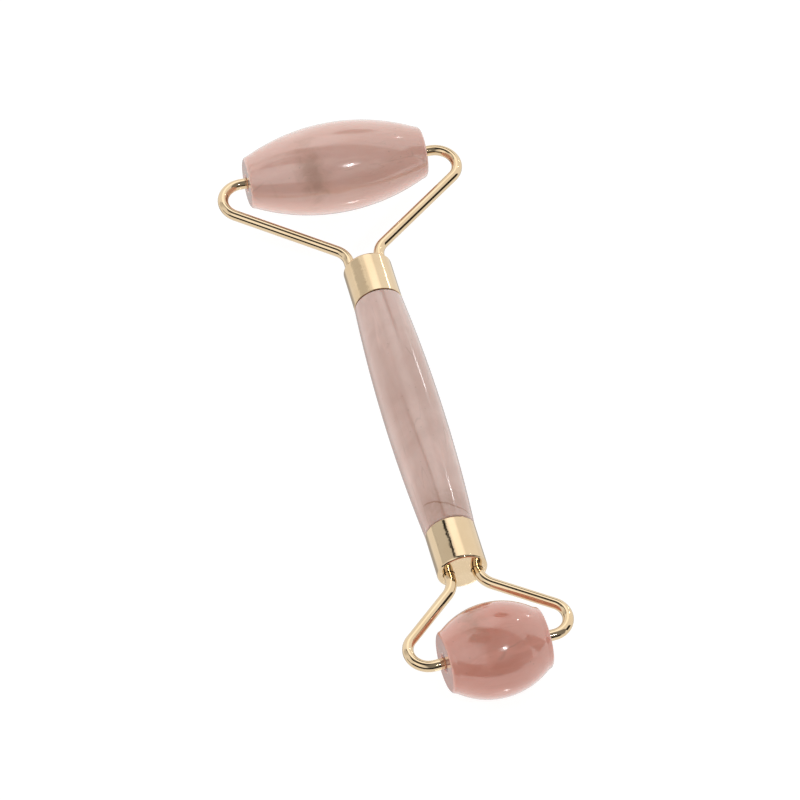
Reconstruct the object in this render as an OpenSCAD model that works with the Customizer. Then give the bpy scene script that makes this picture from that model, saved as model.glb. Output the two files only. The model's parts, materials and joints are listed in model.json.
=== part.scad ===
// Two-ended facial massage roller. A turned stone handle carries a metal cap at each end, and
// each cap holds a bent wire fork whose tips run in the bored ends of a barrel-shaped stone
// roller. The tool lies on a flat surface on both barrels, with its handle along Y, the large
// roller at +Y and the small roller at -Y. The origin is under the middle of the tool.

/* [Rollers] */
// Length of the large barrel
large_len = 37.6; // [34:0.2:39]
// Diameter of the large barrel at its middle
large_dia = 18.9; // [16:0.1:21]
// Diameter of the large barrel's flat ends
large_end_dia = 10; // [8:0.1:12]
// Length of the small barrel
small_len = 20.2; // [18:0.2:21.6]
// Diameter of the small barrel at its middle
small_dia = 18.6; // [15:0.1:19]
// Diameter of the small barrel's flat ends
small_end_dia = 10.8; // [8:0.1:12]

/* [Handle] */
// Visible length of the stone handle between the caps
handle_len = 59; // [45:1:70]
// Diameter of the handle at its middle
handle_dia = 12.1; // [11:0.1:14]
// Diameter of the handle where it meets the caps
handle_end_dia = 10; // [9.6:0.1:10.6]

/* [Caps] */
// Length of each metal cap
cap_len = 9.8; // [9:0.1:12]
// Outside diameter of each metal cap
cap_dia = 10; // [9.8:0.1:11]
// Thickness of a cap's side wall
cap_wall = 0.4; // [0.3:0.05:0.5]
// Radius of the rounded edge at a cap's closed end
cap_round = 0.5; // [0.2:0.1:0.8]

/* [Forks] */
// Diameter of the fork wire
wire_dia = 2.2; // [2:0.1:2.4]
// Distance from a cap's closed end to the large roller's axle
large_reach = 28; // [26:0.5:32]
// Distance from a cap's closed end to the small roller's axle
small_reach = 19.3; // [18:0.1:22]
// Distance between the large fork's wires where they leave the cap
large_root_gap = 6.4; // [5.4:0.1:6.4]
// Distance between the small fork's wires where they leave the cap
small_root_gap = 5.6; // [5.4:0.1:6.4]
// Angle of the large fork's arms away from the handle's line, in degrees
large_arm_angle = 52; // [51:0.5:54]
// Angle of the small fork's arms away from the handle's line, in degrees
small_arm_angle = 51; // [50:0.5:54]
// Sideways lean of the small fork in its cap, in degrees
small_lean = 4; // [0:0.5:5]

/* [Hidden] */

// facets of a plain round face, of a long flat arc, and of the bent wire
$fn = 96;
arc_facets = 1440;
wire_facets = 36;

wire_r = wire_dia / 2;

// stone ends: edge chamfers, and the tenon ground on each end of the handle
edge_chamfer = 0.3;
shoulder_gap = 0.15;
shoulder_chamfer = 0.4;
tenon_len = 3.6;
tenon_r = cap_dia / 2 - cap_wall - 0.2;

// caps: closed end, wire holes, and how far the glue stays back from the mouth
cap_end_wall = 0.6;
hole_r = wire_r + 0.12;
glue_set_back = 0.5;

// forks: straight stub out of the cap, bend at the root, bend at the outer corner, and how far
// the tips reach into a roller
leg_in_cap = 1;
large_stub = 2.4;
small_stub = 0.5;
large_root_bend = 4.3;
small_root_bend = 5;
large_corner_bend = 4.5;
small_corner_bend = 3.9;
pin_depth = 5;
pin_chamfer = 0.25;
seam_step = 0.01;
seam_lap = 0.05;

// bushes: running fit on the wire, tight fit in the stone
bush_clear = 0.05;
bush_wall = 0.65;
bush_len = 6;
bush_recess = 0.2;
bore_r = wire_r + bush_clear + bush_wall;

// axle positions along the handle's own axis, measured from its middle
cap_face_y = handle_len / 2 + cap_len;
large_axle_y = cap_face_y + large_reach;
small_axle_y = -cap_face_y - small_reach * cos(small_lean);

// radius of the arc that runs from a barrel's middle to its ends
function arc_radius(len, mid_d, end_d) =
    (pow(len / 2, 2) + pow((mid_d - end_d) / 2, 2)) / (mid_d - end_d);

// rest pose: the tilt that sets both barrels on the ground, and the shift to the middle
small_bulge = (arc_radius(small_len, small_dia, small_end_dia) - small_dia / 2) * (1 - cos(small_lean));
rest_tilt = asin((large_dia - small_dia) / 2 / (large_axle_y - small_axle_y));
y_far = large_axle_y * cos(rest_tilt) + large_dia / 2;
y_near = small_axle_y * cos(rest_tilt) - small_dia / 2 - small_bulge;
lift = large_dia / 2 - large_axle_y * sin(rest_tilt);

stone_pale = [0.80, 0.66, 0.64];
stone_deep = [0.74, 0.55, 0.52];
gold = [0.90, 0.76, 0.52];
clear_nylon = [0.90, 0.80, 0.82];
epoxy = [0.86, 0.84, 0.78];

// ---- placing ----

// from the handle's own frame to the resting tool
module rest() {
    translate([0, -(y_far + y_near) / 2, lift]) rotate([rest_tilt, 0, 0]) children();
}

// a fork's frame has its origin in the middle of the cap's closed end and +Y towards its axle
module large_end() {
    rest() translate([0, cap_face_y, 0]) children();
}

module small_end() {
    rest() translate([0, -cap_face_y, 0]) rotate([0, 0, 180]) children();
}

module small_end_leaning() {
    small_end() rotate([0, 0, small_lean]) children();
}

// turns a solid of revolution made about Z so that it lies along Y or along X
module along_y() {
    rotate([-90, 0, 0]) children();
}

module along_x() {
    rotate([0, 90, 0]) children();
}

// ---- stones ----

// half section of a barrel: one long arc, cut square at both ends, with chamfered edges
module barrel_section(len, mid_d, end_d, chamfer) {
    arc = arc_radius(len, mid_d, end_d);
    intersection() {
        translate([mid_d / 2 - arc, 0]) circle(r = arc, $fn = arc_facets);
        polygon([
            [0, -len / 2],
            [end_d / 2 - chamfer, -len / 2],
            [mid_d / 2, -len / 2 + chamfer + (mid_d - end_d) / 2],
            [mid_d / 2, len / 2 - chamfer - (mid_d - end_d) / 2],
            [end_d / 2 - chamfer, len / 2],
            [0, len / 2]
        ]);
    }
}

module handle() {
    body_len = handle_len - 2 * shoulder_gap;
    tenon_reach = handle_len / 2 + tenon_len;
    color(stone_pale) rest() along_y() rotate_extrude() union() {
        barrel_section(body_len, handle_dia, handle_end_dia, shoulder_chamfer);
        translate([0, -tenon_reach]) square([tenon_r, 2 * tenon_reach]);
    }
}

module roller_stone(len, mid_d, end_d) {
    along_x() difference() {
        rotate_extrude() barrel_section(len, mid_d, end_d, edge_chamfer);
        cylinder(r = bore_r, h = len + 2, center = true);
    }
}

module large_roller() {
    color(stone_deep) large_end() translate([0, large_reach, 0])
        roller_stone(large_len, large_dia, large_end_dia);
}

module small_roller() {
    color(stone_deep) small_end_leaning() translate([0, small_reach, 0])
        roller_stone(small_len, small_dia, small_end_dia);
}

// ---- bushes ----

// a sleeve pressed into one end of a roller; side is 1 towards the fork frame's +X
module bush(len, side) {
    mid = side * (len / 2 - bush_recess - bush_len / 2);
    color(clear_nylon) translate([mid, 0, 0]) along_x() difference() {
        cylinder(r = bore_r, h = bush_len, center = true);
        cylinder(r = wire_r + bush_clear, h = bush_len + 2, center = true);
    }
}

module large_bush(side) {
    large_end() translate([0, large_reach, 0]) bush(large_len, side);
}

module small_bush(side) {
    small_end_leaning() translate([0, small_reach, 0]) bush(small_len, side);
}

// ---- caps ----

// closed cup in a fork's frame: closed end at Y = 0, mouth at Y = -cap_len
module cap(root_gap) {
    color(gold) difference() {
        along_y() rotate_extrude() difference() {
            union() {
                translate([0, -cap_len]) square([cap_dia / 2, cap_len - cap_round]);
                translate([0, -cap_len]) square([cap_dia / 2 - cap_round, cap_len]);
                translate([cap_dia / 2 - cap_round, -cap_round]) circle(r = cap_round);
            }
            translate([0, -cap_len - 1]) square([cap_dia / 2 - cap_wall, cap_len + 1 - cap_end_wall]);
        }
        for (side = [-1, 1])
            translate([side * root_gap / 2, 0, 0]) along_y()
                cylinder(r = hole_r, h = 4 * cap_end_wall, center = true);
    }
}

// hardened glue: it fills the cup round the wire and the film between cup and tenon
module glue() {
    cup_r = cap_dia / 2 - cap_wall;
    color(epoxy) along_y() rotate_extrude() difference() {
        translate([0, -cap_len + glue_set_back]) square([cup_r, cap_len - glue_set_back - cap_end_wall]);
        translate([0, -cap_len]) square([tenon_r, tenon_len]);
    }
}

// ---- forks ----

// The wire is laid out like a route: each stretch starts at the origin heading along +Y, and
// what follows it is placed at its end. A straight run is a hair thinner than a bend and enters
// the bends on both sides of it, so that the stretches always join into one solid.

module run(len) {
    translate([0, -seam_lap, 0]) along_y()
        cylinder(r = wire_r - seam_step, h = len + 2 * seam_lap, $fn = wire_facets);
    translate([0, len, 0]) children();
}

module bend_left(r, turn) {
    translate([-r, 0, 0]) rotate_extrude(angle = turn, $fn = 2 * wire_facets)
        translate([r, 0]) circle(r = wire_r, $fn = wire_facets);
    translate([-r, 0, 0]) rotate([0, 0, turn]) translate([r, 0, 0]) children();
}

module bend_right(r, turn) {
    mirror([1, 0, 0]) bend_left(r, turn) mirror([1, 0, 0]) children();
}

module wire_tip() {
    tip_r = wire_r - seam_step;
    translate([0, seam_lap, 0]) along_y()
        cylinder(r1 = tip_r, r2 = tip_r - pin_chamfer, h = pin_chamfer, $fn = wire_facets);
}

// half a fork, from the middle of the loop inside the cap to the tip inside the roller
module half_fork(root_gap, stub, root_bend, arm_angle, corner_bend, reach, roller_len) {
    loop_r = root_gap / 2;
    bends = root_bend + corner_bend;
    arm_len = (reach - stub - corner_bend - bends * sin(arm_angle)) / cos(arm_angle);
    pin_start = loop_r + bends * (1 - cos(arm_angle)) + arm_len * sin(arm_angle) - corner_bend;
    pin_len = pin_start - roller_len / 2 + pin_depth - pin_chamfer - seam_lap;
    translate([0, -leg_in_cap - loop_r, 0]) rotate([0, 0, -90])
        bend_left(loop_r, 90) run(leg_in_cap + stub)
        bend_right(root_bend, arm_angle) run(arm_len)
        bend_left(corner_bend, 90 + arm_angle) run(pin_len)
        wire_tip();
}

module fork(root_gap, stub, root_bend, arm_angle, corner_bend, reach, roller_len) {
    for (side = [0, 1])
        mirror([side, 0, 0])
            half_fork(root_gap, stub, root_bend, arm_angle, corner_bend, reach, roller_len);
}

module large_wire() {
    large_end() fork(
        large_root_gap, large_stub, large_root_bend, large_arm_angle,
        large_corner_bend, large_reach, large_len
    );
}

module small_wire() {
    small_end_leaning() fork(
        small_root_gap, small_stub, small_root_bend, small_arm_angle,
        small_corner_bend, small_reach, small_len
    );
}

module large_glue() {
    color(epoxy) difference() {
        large_end() glue();
        large_wire();
    }
}

module small_glue() {
    color(epoxy) difference() {
        small_end() glue();
        small_wire();
    }
}

handle();
large_end() cap(large_root_gap);  // large_cap
large_glue();
color(gold) large_wire();  // large_fork
large_roller();
large_bush(-1);  // large_bush_left
large_bush(1);  // large_bush_right
small_end() cap(small_root_gap);  // small_cap
small_glue();
color(gold) small_wire();  // small_fork
small_roller();
small_bush(1);  // small_bush_left
small_bush(-1);  // small_bush_right
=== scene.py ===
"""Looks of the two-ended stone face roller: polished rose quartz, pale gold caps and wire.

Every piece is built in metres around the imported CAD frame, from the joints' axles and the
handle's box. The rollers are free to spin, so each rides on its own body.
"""

import json
import math

import bmesh
import bpy
from mathutils import Matrix, Vector


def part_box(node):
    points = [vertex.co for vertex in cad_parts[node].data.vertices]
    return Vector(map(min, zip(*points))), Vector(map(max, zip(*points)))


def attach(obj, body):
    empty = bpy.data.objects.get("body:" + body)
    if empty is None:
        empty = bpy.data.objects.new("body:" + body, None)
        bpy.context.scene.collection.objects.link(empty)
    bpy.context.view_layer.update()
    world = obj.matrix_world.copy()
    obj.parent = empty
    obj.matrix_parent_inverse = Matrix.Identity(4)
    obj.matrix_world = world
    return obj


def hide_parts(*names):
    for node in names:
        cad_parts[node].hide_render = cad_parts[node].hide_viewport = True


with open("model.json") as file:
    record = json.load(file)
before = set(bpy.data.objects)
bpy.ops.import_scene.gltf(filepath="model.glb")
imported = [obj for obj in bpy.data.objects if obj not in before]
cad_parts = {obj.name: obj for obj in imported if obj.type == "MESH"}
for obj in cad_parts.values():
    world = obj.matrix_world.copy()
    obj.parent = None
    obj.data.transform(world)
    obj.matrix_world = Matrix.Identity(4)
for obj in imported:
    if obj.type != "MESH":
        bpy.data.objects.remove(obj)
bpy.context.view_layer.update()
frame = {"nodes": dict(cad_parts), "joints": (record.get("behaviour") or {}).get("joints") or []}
MM = 0.001

# ---- sizes, in metres, as the CAD model has them ----

CAP_LEN = 9.8 * MM
CAP_R = 5.0 * MM
CAP_WALL = 0.4 * MM
CAP_END_WALL = 0.6 * MM
CAP_ROUND = 0.5 * MM
WIRE_R = 1.1 * MM
WIRE_HOLE_R = 1.22 * MM
WIRE_TIP = 0.25 * MM
LEG_IN_CAP = 1.0 * MM
PIN_DEPTH = 5.0 * MM
BORE_R = 1.8 * MM
HANDLE_LEN = 59.0 * MM
HANDLE_R = 6.05 * MM
HANDLE_END_R = 5.0 * MM
SHOULDER_GAP = 0.15 * MM
SHOULDER_ROUND = 0.4 * MM
TENON_R = 4.4 * MM
TENON_LEN = 3.6 * MM

# the two ends: wire gap at the cap, straight stub, root bend, arm angle, corner bend,
# distance from cap to axle, and the roller's length, middle radius and end radius
LARGE = dict(
    gap=6.4 * MM, stub=2.4 * MM, root_bend=4.3 * MM, arm_angle=math.radians(52),
    corner_bend=4.5 * MM, reach=28.0 * MM, roller_len=37.6 * MM, mid_r=9.45 * MM, end_r=5.0 * MM,
)
SMALL = dict(
    gap=5.6 * MM, stub=0.5 * MM, root_bend=5.0 * MM, arm_angle=math.radians(51),
    corner_bend=3.9 * MM, reach=19.3 * MM, roller_len=20.2 * MM, mid_r=9.3 * MM, end_r=5.4 * MM,
)

# ---- places, from the frame ----

joints = {j["name"]: j for j in frame["joints"]}
large_axle = Vector(joints["large_roller_spin"]["pos_m"])
small_axle = Vector(joints["small_roller_spin"]["pos_m"])
small_axis = Vector(joints["small_roller_spin"]["axis"])
low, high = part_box("handle")
handle_mid = (low + high) / 2


def placed(origin, along, across):
    """A frame with its origin there, +Y along and +X as near to across as it goes."""
    y = along.normalized()
    z = across.cross(y).normalized()
    x = y.cross(z)
    turn = Matrix((x, y, z)).transposed().to_4x4()
    return Matrix.Translation(origin) @ turn


right = Vector((1, 0, 0))
left = Vector((-1, 0, 0))
handle_line = (large_axle - handle_mid).normalized()
face_reach = HANDLE_LEN / 2 + CAP_LEN
large_face = handle_mid + handle_line * face_reach
small_face = handle_mid - handle_line * face_reach

tool = placed(handle_mid, handle_line, right)
large_end = placed(large_face, handle_line, right)
small_cap_end = placed(small_face, -handle_line, left)
small_end = placed(small_face, small_axle - small_face, -small_axis)
large_roll = large_end @ Matrix.Translation((0, LARGE["reach"], 0))
small_roll = small_end @ Matrix.Translation((0, SMALL["reach"], 0))

# ---- camera ----

CAMERA_AZIMUTH = math.radians(-14.66)
CAMERA_ELEVATION = math.radians(51.69)
CAMERA_ROLL = math.radians(0.99)
CAMERA_DISTANCE = 0.8954
CAMERA_AIM = Vector((-0.00166, 0.00014, 0.00937))
CAMERA_LENS = 202.5
CAMERA_SENSOR = 36
CAMERA_CLIP = 0.01


def make_camera():
    data = bpy.data.cameras.new("camera")
    data.sensor_width = CAMERA_SENSOR
    data.lens = CAMERA_LENS
    data.clip_start = CAMERA_CLIP
    camera = bpy.data.objects.new("camera", data)
    bpy.context.scene.collection.objects.link(camera)
    back = Vector((
        math.sin(CAMERA_AZIMUTH) * math.cos(CAMERA_ELEVATION),
        -math.cos(CAMERA_AZIMUTH) * math.cos(CAMERA_ELEVATION),
        math.sin(CAMERA_ELEVATION),
    ))
    level = (-back).to_track_quat("-Z", "Y").to_matrix().to_4x4()
    camera.matrix_world = (
        Matrix.Translation(CAMERA_AIM + back * CAMERA_DISTANCE)
        @ level
        @ Matrix.Rotation(CAMERA_ROLL, 4, "Z")
    )
    bpy.context.scene.camera = camera


# ---- node helpers ----


class Nodes:
    """Adds nodes to one tree, with their inputs by name or number."""

    def __init__(self, tree):
        self.tree = tree

    def add(self, kind, inputs=None, **settings):
        made = self.tree.nodes.new(kind)
        for key, value in settings.items():
            setattr(made, key, value)
        for key, value in (inputs or {}).items():
            self.put(made.inputs[key], value)
        return made

    def put(self, socket, value):
        if isinstance(value, bpy.types.NodeSocket):
            self.tree.links.new(value, socket)
        else:
            socket.default_value = value

    def math(self, operation, a, b=0.0):
        return self.add("ShaderNodeMath", {0: a, 1: b}, operation=operation).outputs[0]

    def product(self, *shares):
        made = shares[0]
        for share in shares[1:]:
            made = self.math("MULTIPLY", made, share)
        return made

    def vector(self, operation, a, b):
        return self.add("ShaderNodeVectorMath", {0: a, 1: b}, operation=operation).outputs[0]

    def dot(self, vector, other):
        made = self.add("ShaderNodeVectorMath", {0: vector, 1: other}, operation="DOT_PRODUCT")
        return made.outputs["Value"]

    def away(self, value, centre):
        """How far value is from centre, on either side."""
        return self.math("ABSOLUTE", self.math("SUBTRACT", value, centre))

    def rise(self, value, start, end, low=0.0, high=1.0):
        """Goes smoothly from low to high as value goes from start to end."""
        made = self.add(
            "ShaderNodeMapRange",
            {"Value": value, 1: start, 2: end, 3: low, 4: high},
            interpolation_type="SMOOTHSTEP",
        )
        return made.outputs["Result"]

    def near(self, value, centre, half, soft):
        """1 where value is within half of centre, and 0 from soft beyond that."""
        return self.rise(self.away(value, centre), half + soft, half)

    def blend(self, share, level, other):
        """The number level where share is 0, and other where it is 1."""
        change = self.math("MULTIPLY", share, self.math("SUBTRACT", other, level))
        return self.math("ADD", level, change)

    def mix(self, share, a, b):
        """The colour a where share is 0, and b where it is 1."""
        made = self.add("ShaderNodeMix", data_type="RGBA")
        self.put(made.inputs["Factor"], share)
        self.put(made.inputs[6], a)
        self.put(made.inputs[7], b)
        return made.outputs[2]

    def cloud(self, place, scale, detail=3.0, rough=0.5, warp=0.0):
        made = self.add(
            "ShaderNodeTexNoise",
            {"Vector": place, "Scale": scale, "Detail": detail, "Roughness": rough, "Distortion": warp},
        )
        return made.outputs[0]

    def own_place(self):
        """The piece's own coordinates in metres."""
        return self.add("ShaderNodeTexCoord").outputs["Object"]

    def place(self, scale=(1, 1, 1), shift=(0, 0, 0)):
        """The piece's own coordinates, stretched and shifted."""
        inputs = {"Vector": self.own_place(), "Location": shift, "Scale": scale}
        return self.add("ShaderNodeMapping", inputs).outputs[0]


def colour(r, g, b):
    return (r, g, b, 1.0)


def darker(tint, share):
    return colour(*[c * share for c in tint])


def new_material(name):
    material = bpy.data.materials.new(name)
    material.use_nodes = True
    material.node_tree.nodes.clear()
    nodes = Nodes(material.node_tree)
    shader = nodes.add("ShaderNodeBsdfPrincipled")
    output = nodes.add("ShaderNodeOutputMaterial")
    material.node_tree.links.new(shader.outputs[0], output.inputs["Surface"])
    return material, nodes, shader


def settle(shader, **values):
    """Sets the shader's own values. A name's underscores stand for the socket's spaces."""
    for key, value in values.items():
        shader.inputs[key.replace("_", " ")].default_value = value


def bump(nodes, shader, height, distance, strength=1.0):
    inputs = {"Height": height, "Distance": distance, "Strength": strength}
    nodes.put(shader.inputs["Normal"], nodes.add("ShaderNodeBump", inputs).outputs[0])


# ---- rose quartz ----
# Noise scales are in cells per metre, and strengths are the largest share of a layer's colour.

STAIN_TINT = (0.42, 0.24, 0.165)
CRACK_TINT = (0.36, 0.16, 0.10)
MILK_GAIN = 1.3
MILK_LIFT = 0.03
MILK_STRENGTH = 0.30
STAIN_RAGGED = 2.2
STAIN_STRENGTH = 0.52
VEIN_PUSH = 1.5 * MM
VEIN_STRENGTH = 0.22
THREAD_WIDTH = 0.012  # in the noise's own values
THREAD_STRENGTH = 0.30
CRACK_BEND = 3.0 * MM
CRACK_WIDTH = 0.27 * MM
CRACK_FADE = 1.0 * MM
CRACK_STRENGTH = 0.75
SPECK_STRENGTH = 0.22


def streaked(axis, across, along):
    """Scales that draw a pattern out along one axis."""
    scales = [across] * 3
    scales[axis] = along
    return scales


def stain_share(nodes, own, plain, middle, size):
    """One brown stain: a soft ellipsoid with a ragged edge."""
    offset = nodes.vector("DIVIDE", nodes.vector("SUBTRACT", own, middle), size)
    distance = nodes.add("ShaderNodeVectorMath", {0: offset}, operation="LENGTH").outputs["Value"]
    rag = nodes.cloud(plain, 330.0, detail=4.0, rough=0.6, warp=0.8)
    ragged = nodes.math("ADD", distance, nodes.math("MULTIPLY", rag, STAIN_RAGGED))
    return nodes.rise(ragged, 2.6, 1.0, high=STAIN_STRENGTH)


def vein_share(nodes, plain, drawn):
    """Hairline veins on the borders of bent cells, in patches."""
    push = nodes.add("ShaderNodeTexNoise", {"Vector": plain, "Scale": 160.0}).outputs[1]
    push = nodes.add("ShaderNodeVectorMath", {0: push, 3: VEIN_PUSH}, operation="SCALE").outputs[0]
    cells = nodes.add(
        "ShaderNodeTexVoronoi",
        {"Vector": nodes.vector("ADD", drawn, push), "Scale": 95.0},
        feature="DISTANCE_TO_EDGE",
    )
    line = nodes.rise(cells.outputs["Distance"], 0.018, 0.0, high=VEIN_STRENGTH)
    patches = nodes.rise(nodes.cloud(plain, 130.0, detail=2.0), 0.5, 0.65)
    return nodes.product(line, patches)


def thread_share(nodes, plain, threaded):
    """Fine dark threads along the streaks, where a long-drawn noise passes its middle."""
    drift = nodes.cloud(threaded, 420.0, detail=1.0, warp=0.6)
    line = nodes.rise(nodes.away(drift, 0.5), THREAD_WIDTH, 0.0, high=THREAD_STRENGTH)
    patches = nodes.rise(nodes.cloud(plain, 90.0, detail=2.0), 0.45, 0.6)
    return nodes.product(line, patches)


def crack_share(nodes, own, plain, slope, level, start, end):
    """One thin uneven vein along the line y = level - slope * x, from start to end in x."""
    x, y, _ = nodes.add("ShaderNodeSeparateXYZ", {0: own}).outputs
    straight = nodes.math("ADD", y, nodes.math("MULTIPLY", x, slope))
    bend = nodes.math("MULTIPLY", nodes.cloud(plain, 260.0, detail=4.0), CRACK_BEND)
    off_line = nodes.away(nodes.math("ADD", straight, bend), level + CRACK_BEND / 2)
    line = nodes.rise(off_line, CRACK_WIDTH, 0.0, high=CRACK_STRENGTH)
    return nodes.product(
        line, nodes.rise(x, start - CRACK_FADE, start), nodes.rise(x, end + CRACK_FADE, end)
    )


def rose_quartz(name, pale, deep, streak_axis, stain_at, stain_size, shift, crack=None):
    """Polished rose quartz: soft clouds, milky streaks, a brown stain, hairline veins and pits."""
    material, nodes, shader = new_material(name)
    own = nodes.own_place()
    plain = nodes.place(shift=shift)
    drawn = nodes.place(streaked(streak_axis, across=1.0, along=0.22), shift)
    threaded = nodes.place(streaked(streak_axis, across=0.9, along=0.06), shift)

    clouds = nodes.rise(nodes.cloud(plain, 70.0, detail=4.0, rough=0.55, warp=0.4), 0.32, 0.68)
    milk = nodes.rise(nodes.cloud(drawn, 260.0, rough=0.6, warp=0.3), 0.52, 0.72, high=MILK_STRENGTH)
    milky = colour(*[min(1.0, c * MILK_GAIN + MILK_LIFT) for c in pale])
    specks = nodes.add("ShaderNodeTexVoronoi", {"Vector": plain, "Scale": 420.0}).outputs["Distance"]

    layers = [
        (clouds, colour(*deep)),
        (milk, milky),
        (stain_share(nodes, own, plain, stain_at, stain_size), colour(*STAIN_TINT)),
        (vein_share(nodes, plain, drawn), darker(STAIN_TINT, 0.62)),
        (thread_share(nodes, plain, threaded), darker(deep, 0.72)),
    ]
    if crack is not None:
        layers.append((crack_share(nodes, own, plain, **crack), colour(*CRACK_TINT)))
    layers.append((nodes.rise(specks, 0.10, 0.03, high=SPECK_STRENGTH), darker(STAIN_TINT, 0.5)))
    stone = colour(*pale)
    for share, tint in layers:
        stone = nodes.mix(share, stone, tint)

    polish = nodes.rise(nodes.cloud(plain, 900.0), 0.3, 0.7, low=0.10, high=0.2)
    nodes.put(shader.inputs["Base Color"], stone)
    nodes.put(shader.inputs["Roughness"], polish)
    settle(
        shader, IOR=1.54, Subsurface_Weight=0.35, Subsurface_Radius=(1.0, 0.55, 0.45),
        Subsurface_Scale=2.5 * MM, Coat_Weight=1.0, Coat_Roughness=0.03, Coat_IOR=1.5,
    )
    bump(nodes, shader, nodes.cloud(plain, 700.0), distance=0.03 * MM, strength=0.5)
    return material


# ---- other materials ----

GOLD_DEEP = colour(0.72, 0.555, 0.355)
GOLD_PALE = colour(0.76, 0.60, 0.40)
NYLON_DEEP = colour(0.36, 0.20, 0.22)
NYLON_PALE = colour(0.48, 0.28, 0.27)
GLUE_DEEP = colour(0.30, 0.22, 0.12)
GLUE_PALE = colour(0.46, 0.36, 0.22)
POLISH_DEPTH = 0.01  # the polishing lines' share of the ripple


def pale_gold(name, ripple):
    """Bright gold plating with faint polishing lines, a warm drift in tone and a slight ripple."""
    material, nodes, shader = new_material(name)
    plain = nodes.place()
    tone = nodes.rise(nodes.cloud(plain, 120.0), 0.35, 0.65)
    lines = nodes.cloud(nodes.place(scale=(1.0, 0.08, 1.0)), 5200.0, detail=2.0)
    nodes.put(shader.inputs["Base Color"], nodes.mix(tone, GOLD_DEEP, GOLD_PALE))
    nodes.put(shader.inputs["Roughness"], nodes.rise(lines, 0.3, 0.8, low=0.045, high=0.12))
    settle(shader, Metallic=1.0)
    waves = nodes.cloud(plain, 420.0, detail=2.0)
    height = nodes.math("ADD", waves, nodes.math("MULTIPLY", lines, POLISH_DEPTH))
    bump(nodes, shader, height, ripple)
    return material


def uneven(name, scale, detail, deep, pale, roughness, bump_depth, bump_strength):
    """A plain material whose tone and height drift together."""
    material, nodes, shader = new_material(name)
    drift = nodes.cloud(nodes.place(), scale, detail)
    nodes.put(shader.inputs["Base Color"], nodes.mix(drift, deep, pale))
    settle(shader, Roughness=roughness)
    bump(nodes, shader, drift, bump_depth, bump_strength)
    return material


def nylon():
    """Dusky nylon, faintly mottled."""
    return uneven(
        "bush_nylon", scale=3000.0, detail=2.0, deep=NYLON_DEEP, pale=NYLON_PALE,
        roughness=0.3, bump_depth=0.01 * MM, bump_strength=0.5,
    )


def epoxy():
    """Hardened glue, slightly yellow and uneven."""
    return uneven(
        "glue", scale=900.0, detail=4.0, deep=GLUE_DEEP, pale=GLUE_PALE,
        roughness=0.45, bump_depth=0.08 * MM, bump_strength=0.8,
    )


# ---- shapes ----

# the small roundings of the visual model, which the CAD model has smaller or not at all
EDGE = 1.1 * MM
RIM_ROUND = 0.1 * MM
BORE_SINK = 0.25 * MM
TENON_BEVEL = 0.2 * MM
# a ring this close to an edge keeps the shading of the flat beside it flat
HOLD = 0.05 * MM
# rings that only divide long or broad faces
BORE_RING_DEPTH = 6.0 * MM
TENON_RING_R = 1.5 * MM

SHARP_ANGLE = math.radians(35)
BARREL_STEPS = 96
STONE_STEPS = 240
CAP_STEPS = 192
HOLE_STEPS = 48
WIRE_STEPS = 56
BEND_STEP = 3  # degrees


def arc(centre, radius, start, end, steps):
    """Points on an arc in the (along, out) plane. Angles are degrees from +along towards out."""
    turns = [math.radians(start + (end - start) * i / steps) for i in range(steps + 1)]
    return [(centre[0] + radius * math.cos(t), centre[1] + radius * math.sin(t)) for t in turns]


def barrel_line(length, mid_r, end_r, edge):
    """The long arc of a barrel from its low end to its high end, short of the rounded edges."""
    half = length / 2
    sag = mid_r - end_r
    big = (half * half + sag * sag) / (2 * sag)
    reach = half - edge
    line = []
    for i in range(BARREL_STEPS + 1):
        along = -reach + 2 * reach * i / BARREL_STEPS
        line.append((along, mid_r - big + math.sqrt(big * big - along * along)))
    return line


def shade_smooth(mesh):
    for polygon in mesh.polygons:
        polygon.use_smooth = True
    mesh.set_sharp_from_angle(angle=SHARP_ANGLE)


def finish_mesh(name, bm, where):
    bmesh.ops.recalc_face_normals(bm, faces=bm.faces)
    mesh = bpy.data.meshes.new(name)
    bm.to_mesh(mesh)
    bm.free()
    shade_smooth(mesh)
    piece = bpy.data.objects.new(name, mesh)
    bpy.context.scene.collection.objects.link(piece)
    piece.matrix_world = where
    return piece


def ring(bm, points):
    return [bm.verts.new(p) for p in points]


def skin(bm, first, second):
    """Faces between two rings of as many vertices."""
    count = len(first)
    for i in range(count):
        j = (i + 1) % count
        bm.faces.new((first[i], first[j], second[j], second[i]))


def skin_all(bm, rings):
    for first, second in zip(rings, rings[1:]):
        skin(bm, first, second)


def close_ends(bm, rings):
    for end in (rings[0], rings[-1]):
        bm.faces.new(end)


def lathe_rings(bm, outline, steps, axis):
    """One ring of vertices for each (along, out) point, turned about X or Y."""
    rings = []
    for along, out in outline:
        points = []
        for i in range(steps):
            t = 2 * math.pi * i / steps
            a, b = out * math.cos(t), out * math.sin(t)
            points.append((along, a, b) if axis == "X" else (b, along, a))
        rings.append(ring(bm, points))
    skin_all(bm, rings)
    return rings


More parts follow.
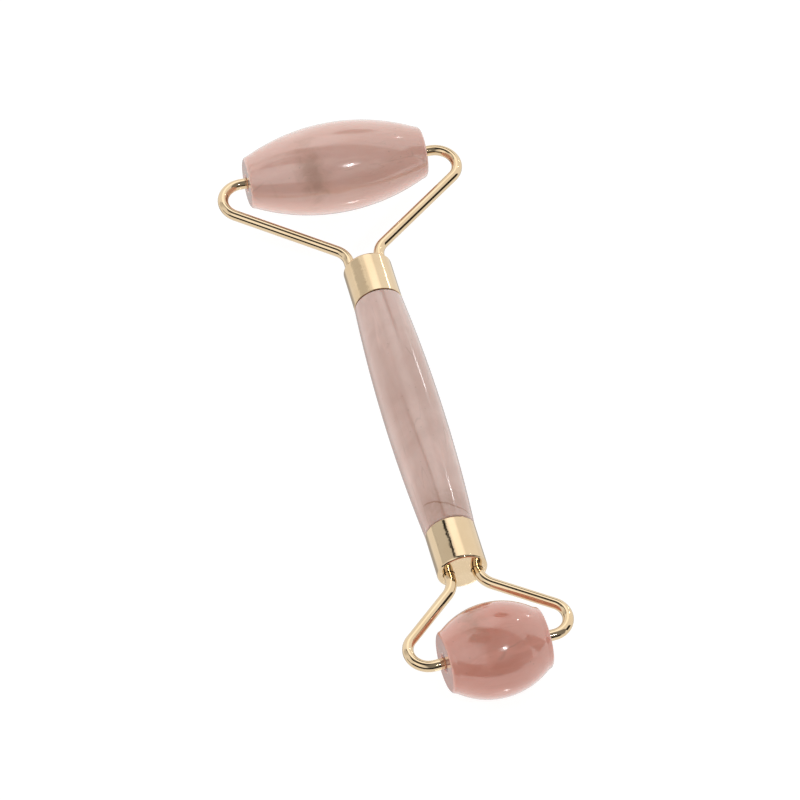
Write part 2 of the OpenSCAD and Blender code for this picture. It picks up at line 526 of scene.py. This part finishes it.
def roller_stone(name, size, where):
    """A barrel of stone with softened edges, flat ends and a countersunk bore right through it."""
    half = size["roller_len"] / 2
    side = barrel_line(size["roller_len"], size["mid_r"], size["end_r"], EDGE)
    shoulder, shoulder_r = side[-1]
    slope = math.degrees(math.atan2(side[-2][1] - shoulder_r, shoulder - side[-2][0]))
    drop = shoulder_r - EDGE
    edge = arc((half - EDGE, drop), EDGE, start=90 - slope, end=0, steps=6)
    high_end = side[len(side) // 2:] + edge[1:] + [
        (half, drop - HOLD),
        (half, BORE_R + BORE_SINK + HOLD),
        (half, BORE_R + BORE_SINK),
        (half - BORE_SINK, BORE_R),
        (half - BORE_SINK - HOLD, BORE_R),
        (half - BORE_RING_DEPTH, BORE_R),
        (0.0, BORE_R),
    ]
    low_end = [(-along, out) for along, out in reversed(high_end[1:-1])]
    bm = bmesh.new()
    rings = lathe_rings(bm, low_end + high_end, STONE_STEPS, "X")
    skin(bm, rings[-1], rings[0])
    return finish_mesh(name, bm, where)


def handle_stone(name, where):
    """The turned handle with a soft shoulder at each cap and a tenon that goes up inside it."""
    half = HANDLE_LEN / 2 - SHOULDER_GAP
    side = barrel_line(2 * half, HANDLE_R, HANDLE_END_R, SHOULDER_ROUND)
    drop = side[-1][1] - SHOULDER_ROUND
    edge = arc((half - SHOULDER_ROUND, drop), SHOULDER_ROUND, start=88, end=0, steps=8)
    tip = HANDLE_LEN / 2 + TENON_LEN
    high_end = side[len(side) // 2:] + edge[1:] + [
        (half, TENON_R),
        (tip - TENON_BEVEL, TENON_R),
        (tip, TENON_R - TENON_BEVEL),
        (tip, TENON_RING_R),
    ]
    low_end = [(-along, out) for along, out in reversed(high_end[1:])]
    bm = bmesh.new()
    rings = lathe_rings(bm, low_end + high_end, STONE_STEPS, "Y")
    close_ends(bm, rings)
    return finish_mesh(name, bm, where)


def hole_ring(bm, centre, level):
    """The edge of one wire hole, on one face of the cap's closed end."""
    turns = [2 * math.pi * i / HOLE_STEPS for i in range(HOLE_STEPS)]
    return ring(bm, [
        (centre + WIRE_HOLE_R * math.sin(t), level, WIRE_HOLE_R * math.cos(t)) for t in turns
    ])


def fill_between(bm, loops):
    """Flat faces between a border and the holes in it."""
    edges = []
    for loop in loops:
        for i, vertex in enumerate(loop):
            pair = (vertex, loop[(i + 1) % len(loop)])
            edges.append(bm.edges.get(pair) or bm.edges.new(pair))
    bmesh.ops.triangle_fill(bm, use_beauty=True, use_dissolve=False, edges=edges)


def cap_cup(name, gap, where):
    """A drawn metal cup: rounded closed end with two wire holes, thin wall and eased rim."""
    cup_r = CAP_R - CAP_WALL
    rim = -CAP_LEN + RIM_ROUND
    shell = [(0.0, CAP_R - CAP_ROUND - HOLD)]
    shell += arc((-CAP_ROUND, CAP_R - CAP_ROUND), CAP_ROUND, start=0, end=90, steps=12)
    shell += [(-CAP_ROUND - HOLD, CAP_R), (rim + HOLD, CAP_R)]
    shell += arc((rim, CAP_R - RIM_ROUND), RIM_ROUND, start=90, end=180, steps=5)
    shell += arc((rim, cup_r + RIM_ROUND), RIM_ROUND, start=180, end=270, steps=5)
    shell += [(rim + HOLD, cup_r), (-CAP_END_WALL, cup_r)]
    bm = bmesh.new()
    rings = lathe_rings(bm, shell, CAP_STEPS, "Y")
    outside = [hole_ring(bm, side * gap / 2, 0.0) for side in (-1, 1)]
    inside = [hole_ring(bm, side * gap / 2, -CAP_END_WALL) for side in (-1, 1)]
    fill_between(bm, [rings[0]] + outside)
    fill_between(bm, [rings[-1]] + inside)
    for outer, inner in zip(outside, inside):
        skin(bm, outer, inner)
    return finish_mesh(name, bm, where)


def wire_line(size):
    """Centreline of the right half of a fork, from the middle of its loop to the pin's tip."""
    place = Vector((0, -LEG_IN_CAP - size["gap"] / 2))
    heading = 0.0
    points = [place.copy()]

    def forward(length, pieces):
        nonlocal place
        step = Vector((math.cos(heading), math.sin(heading))) * (length / pieces)
        for _ in range(pieces):
            place = place + step
            points.append(place.copy())

    def turn(radius, angle):
        nonlocal place, heading
        pieces = int(abs(math.degrees(angle)) / BEND_STEP)
        hand = 1 if angle > 0 else -1
        centre = place + Vector((-math.sin(heading), math.cos(heading))) * radius * hand
        arm = place - centre
        for i in range(1, pieces + 1):
            part = angle * i / pieces
            c, s = math.cos(part), math.sin(part)
            place = centre + Vector((arm.x * c - arm.y * s, arm.x * s + arm.y * c))
            points.append(place.copy())
        heading += angle

    a = size["arm_angle"]
    bends = size["root_bend"] + size["corner_bend"]
    rest_of_reach = size["reach"] - size["stub"] - size["corner_bend"] - bends * math.sin(a)
    turn(size["gap"] / 2, math.radians(90))
    forward(LEG_IN_CAP + size["stub"], pieces=3)
    turn(size["root_bend"], -a)
    forward(rest_of_reach / math.cos(a), pieces=8)
    turn(size["corner_bend"], math.radians(90) + a)
    forward(place.x - size["roller_len"] / 2 + PIN_DEPTH, pieces=6)
    return points


def soft_tip(end, before):
    """A rounded wire end, from the full wire to the point: its shoulder, then (point, radius) pairs."""
    outward = (end - before).normalized()
    pairs = []
    for t in (math.radians(30), math.radians(60), math.radians(90)):
        ahead = math.sin(t) * WIRE_TIP
        back = math.cos(t) * WIRE_TIP - WIRE_TIP
        pairs.append((end - outward * (WIRE_TIP - ahead), WIRE_R + back))
    return end - outward * WIRE_TIP, pairs


def fork_wire(name, size, where):
    """One bent wire, from the tip in one end of the roller round through the cap to the other."""
    half = wire_line(size)
    line = [Vector((-p.x, p.y)) for p in reversed(half[1:])] + half
    first_shoulder, first_tip = soft_tip(line[0], line[1])
    last_shoulder, last_tip = soft_tip(line[-1], line[-2])
    line = [first_shoulder] + line[1:-1] + [last_shoulder]
    spine = first_tip[::-1] + [(point, WIRE_R) for point in line] + last_tip
    turns = [2 * math.pi * i / WIRE_STEPS for i in range(WIRE_STEPS)]
    bm = bmesh.new()
    rings = []
    for i, (point, radius) in enumerate(spine):
        before = spine[max(0, i - 1)][0]
        after = spine[min(len(spine) - 1, i + 1)][0]
        ahead = (after - before).normalized()
        out = Vector((-ahead.y, ahead.x))
        rings.append(ring(bm, [
            (point.x + out.x * radius * math.cos(t), point.y + out.y * radius * math.cos(t),
             radius * math.sin(t)) for t in turns
        ]))
    skin_all(bm, rings)
    close_ends(bm, rings)
    return finish_mesh(name, bm, where)


# ---- studio ----
# The directions point from the object to the tent and are about 1 long. The levels are
# strengths of light.

FRONT_LEFT = (-0.57, -0.75, 0.34)
BACKLIGHT = 1.06
SIDE_PANEL = 0.70
FRONT_PANEL = 0.26
LEFT_PANEL = 0.98
TABLE_LIGHT = 1.0
FAR_TABLE = 0.47
SOFTBOXES = [((0.084, 0.60, 0.796), 0.45), ((-0.62, -0.35, 0.70), 0.35)]
LOW_LEFT = (-0.79, -0.61, 0.0)
ACROSS_RIGHT = (0.28, 0.96, 0.0)
# middle direction, direction across, half width and end of each dark seam between the sheets
SEAMS = [
    ((-0.278, 0.046, 0.960), (-0.610, -0.780, -0.139), 0.15, 0.950),
    ((-0.080, 0.298, 0.951), (-0.605, -0.774, 0.191), 0.08, 0.965),
    ((0.289, 0.769, 0.570), (-0.362, -0.463, 0.809), 0.11, 0.9945),
]
DARKNESS = 0.97
GLINT = Vector((0.195, -0.489, -0.85)).normalized()
GLINT_LIGHT = 6.0
TENT_TINT = colour(1.0, 0.985, 0.965)
WHITE = colour(1.0, 1.0, 1.0)


def tent_sheets(nodes, ray):
    """The lit sheets: a bright back, a bright left, a dark front, a grey far end and the table."""
    x, y, z = nodes.add("ShaderNodeSeparateXYZ", {0: ray}).outputs
    front = nodes.rise(x, -0.35, -0.10, low=LEFT_PANEL, high=FRONT_PANEL)
    panel = nodes.blend(nodes.rise(y, 0.30, 0.50), front, SIDE_PANEL)
    level = nodes.blend(nodes.rise(nodes.dot(ray, FRONT_LEFT), -0.01, 0.03), BACKLIGHT, panel)
    for towards, glow in SOFTBOXES:
        spot = nodes.rise(nodes.dot(ray, towards), 0.94, 0.995, high=glow)
        level = nodes.math("ADD", level, spot)
    far_below = nodes.product(nodes.rise(y, 0.2, 0.5), nodes.rise(z, -0.5, -0.7))
    table = nodes.blend(far_below, TABLE_LIGHT, FAR_TABLE)
    return nodes.blend(nodes.rise(z, -0.02, -0.06), level, table)


def tent_gaps(nodes, ray):
    """The dark gaps: low at the left and in front, round the table, at the right and behind,
    and the seams."""
    x, y, z = nodes.add("ShaderNodeSeparateXYZ", {0: ray}).outputs
    left_part = nodes.rise(nodes.dot(ray, LOW_LEFT), 0.86, 0.92)
    front_part = nodes.product(nodes.rise(y, -0.45, -0.60), nodes.rise(x, 0.62, 0.50))
    low_gap = nodes.product(
        nodes.near(z, centre=0.14, half=0.25, soft=0.04),
        nodes.math("MAXIMUM", left_part, front_part),
    )
    skirting = nodes.product(
        nodes.near(z, centre=-0.01, half=0.07, soft=0.03),
        nodes.rise(x, 0.35, 0.15),
        nodes.rise(y, 0.3, 0.1),
    )
    right_gap = nodes.product(
        nodes.near(nodes.dot(ray, ACROSS_RIGHT), centre=0.0, half=0.17, soft=0.03),
        nodes.rise(x, 0.1, 0.2),
        nodes.rise(z, 0.66, 0.60),
        nodes.rise(z, -0.02, 0.02),
    )
    back_gap = nodes.product(
        nodes.near(nodes.dot(ray, FRONT_LEFT), centre=0.02, half=0.028, soft=0.010),
        nodes.rise(z, 0.0, 0.2),
        nodes.near(y, centre=0.55, half=0.045, soft=0.01),
    )
    gaps = [low_gap, skirting, right_gap, back_gap]
    for middle, across, half, end in SEAMS:
        gaps.append(nodes.product(
            nodes.near(nodes.dot(ray, across), centre=0.0, half=half, soft=0.03),
            nodes.rise(nodes.dot(ray, middle), end - 0.01, end),
        ))
    dark = gaps[0]
    for gap in gaps[1:]:
        dark = nodes.math("MAXIMUM", dark, gap)
    return dark


def studio_light():
    """Reflections see a tent of lit sheets with dark gaps between them, and a glint from below.
    The camera itself sees a plain white surround."""
    world = bpy.data.worlds.new("studio")
    bpy.context.scene.world = world
    world.use_nodes = True
    world.node_tree.nodes.clear()
    nodes = Nodes(world.node_tree)
    ray = nodes.add("ShaderNodeTexCoord").outputs["Generated"]

    open_share = nodes.math("SUBTRACT", 1.0, nodes.math("MULTIPLY", tent_gaps(nodes, ray), DARKNESS))
    level = nodes.math("MULTIPLY", tent_sheets(nodes, ray), open_share)
    glint = nodes.rise(nodes.dot(ray, GLINT), 0.9990, 0.9996, high=GLINT_LIGHT)
    level = nodes.math("ADD", level, glint)

    tent = nodes.add("ShaderNodeBackground", {"Color": TENT_TINT, "Strength": level})
    plain = nodes.add("ShaderNodeBackground", {"Color": WHITE, "Strength": 1.0})
    seen = nodes.add("ShaderNodeLightPath").outputs["Is Camera Ray"]
    shown = nodes.add("ShaderNodeMixShader", {0: seen, 1: tent.outputs[0], 2: plain.outputs[0]})
    output = nodes.add("ShaderNodeOutputWorld")
    world.node_tree.links.new(shown.outputs[0], output.inputs["Surface"])


LAMP_DISTANCE = 0.9
# name, direction from the object, side in metres and watts of each square lamp
LAMPS = [
    ("front_lamp", (0.24, -0.59, 0.77), 0.045, 0.8),
    ("back_lamp", (0.62, 0.47, 0.63), 0.035, 0.05),
    ("side_lamp", (0.73, 0.62, 0.29), 0.05, 0.045),
]


def lamp(name, towards, side, watts):
    data = bpy.data.lights.new(name, "AREA")
    data.shape = "SQUARE"
    data.size = side
    data.energy = watts
    light = bpy.data.objects.new(name, data)
    bpy.context.scene.collection.objects.link(light)
    away = Vector(towards).normalized()
    facing = away.to_track_quat("Z", "Y").to_matrix().to_4x4()
    light.matrix_world = Matrix.Translation(away * LAMP_DISTANCE) @ facing


FLOOR_HALF = 3.0


def floor():
    """A plain pale table top, which reflections pass by."""
    bm = bmesh.new()
    bmesh.ops.create_grid(bm, x_segments=1, y_segments=1, size=FLOOR_HALF)
    table = finish_mesh("floor", bm, Matrix.Identity(4))
    material, _, shader = new_material("floor")
    settle(
        shader, Base_Color=colour(0.25, 0.25, 0.25), Roughness=0.9, Specular_IOR_Level=0.0,
        Emission_Color=WHITE, Emission_Strength=0.88,
    )
    table.data.materials.append(material)
    table.visible_glossy = False


make_camera()
bpy.context.scene.view_settings.view_transform = "Standard"
studio_light()
for settings in LAMPS:
    lamp(*settings)
floor()

# ---- the object ----

large_stone = rose_quartz(
    "rose_quartz_large",
    pale=(0.83, 0.53, 0.46),
    deep=(0.81, 0.49, 0.41),
    streak_axis=0,
    stain_at=(-6.0 * MM, -6.0 * MM, 6.5 * MM),
    stain_size=(2.8 * MM, 7.0 * MM, 6.0 * MM),
    shift=(0.0, 0.0, 0.0),
)
small_stone = rose_quartz(
    "rose_quartz_small",
    pale=(0.73, 0.347, 0.275),
    deep=(0.675, 0.285, 0.214),
    streak_axis=0,
    stain_at=(4.0 * MM, -4.0 * MM, 8.0 * MM),
    stain_size=(3.0 * MM, 6.0 * MM, 4.0 * MM),
    shift=(0.05, 0.02, 0.0),
)
handle_quartz = rose_quartz(
    "rose_quartz_handle",
    pale=(0.725, 0.508, 0.448),
    deep=(0.62, 0.405, 0.345),
    streak_axis=1,
    stain_at=(0.0, -26.0 * MM, 5.0 * MM),
    stain_size=(6.0 * MM, 3.0 * MM, 4.0 * MM),
    shift=(0.1, 0.3, 0.0),
    crack=dict(slope=0.45, level=-26.3 * MM, start=-3.5 * MM, end=3.8 * MM),
)
cap_gold = pale_gold("gold_caps", ripple=0.02 * MM)
wire_gold = pale_gold("gold_wire", ripple=0.004 * MM)
bush_nylon = nylon()
glue = epoxy()

HOLDER = "handle_and_forks"
pieces = [
    (handle_stone("stone_handle", tool), handle_quartz, HOLDER, "handle", "handle_stone"),
    (cap_cup("gold_cap_large", LARGE["gap"], large_end), cap_gold, HOLDER, "large_cap", "cap_metal"),
    (cap_cup("gold_cap_small", SMALL["gap"], small_cap_end), cap_gold, HOLDER, "small_cap", "cap_metal"),
    (fork_wire("wire_fork_large", LARGE, large_end), wire_gold, HOLDER, "large_fork", "fork_wire"),
    (fork_wire("wire_fork_small", SMALL, small_end), wire_gold, HOLDER, "small_fork", "fork_wire"),
    (roller_stone("stone_roller_large", LARGE, large_roll), large_stone, "large_barrel",
     "large_roller", "roller_stone"),
    (roller_stone("stone_roller_small", SMALL, small_roll), small_stone, "small_barrel",
     "small_roller", "roller_stone"),
]
for piece, material, body, node, slot in pieces:
    piece.data.materials.append(material)
    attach(piece, body)
    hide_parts(node)

# the bushes and the glue keep the CAD's shapes
for node, carried in frame["nodes"].items():
    if carried.hide_render:
        continue
    carried.data.materials.clear()
    carried.data.materials.append(bush_nylon if "bush" in node else glue)
    shade_smooth(carried.data)
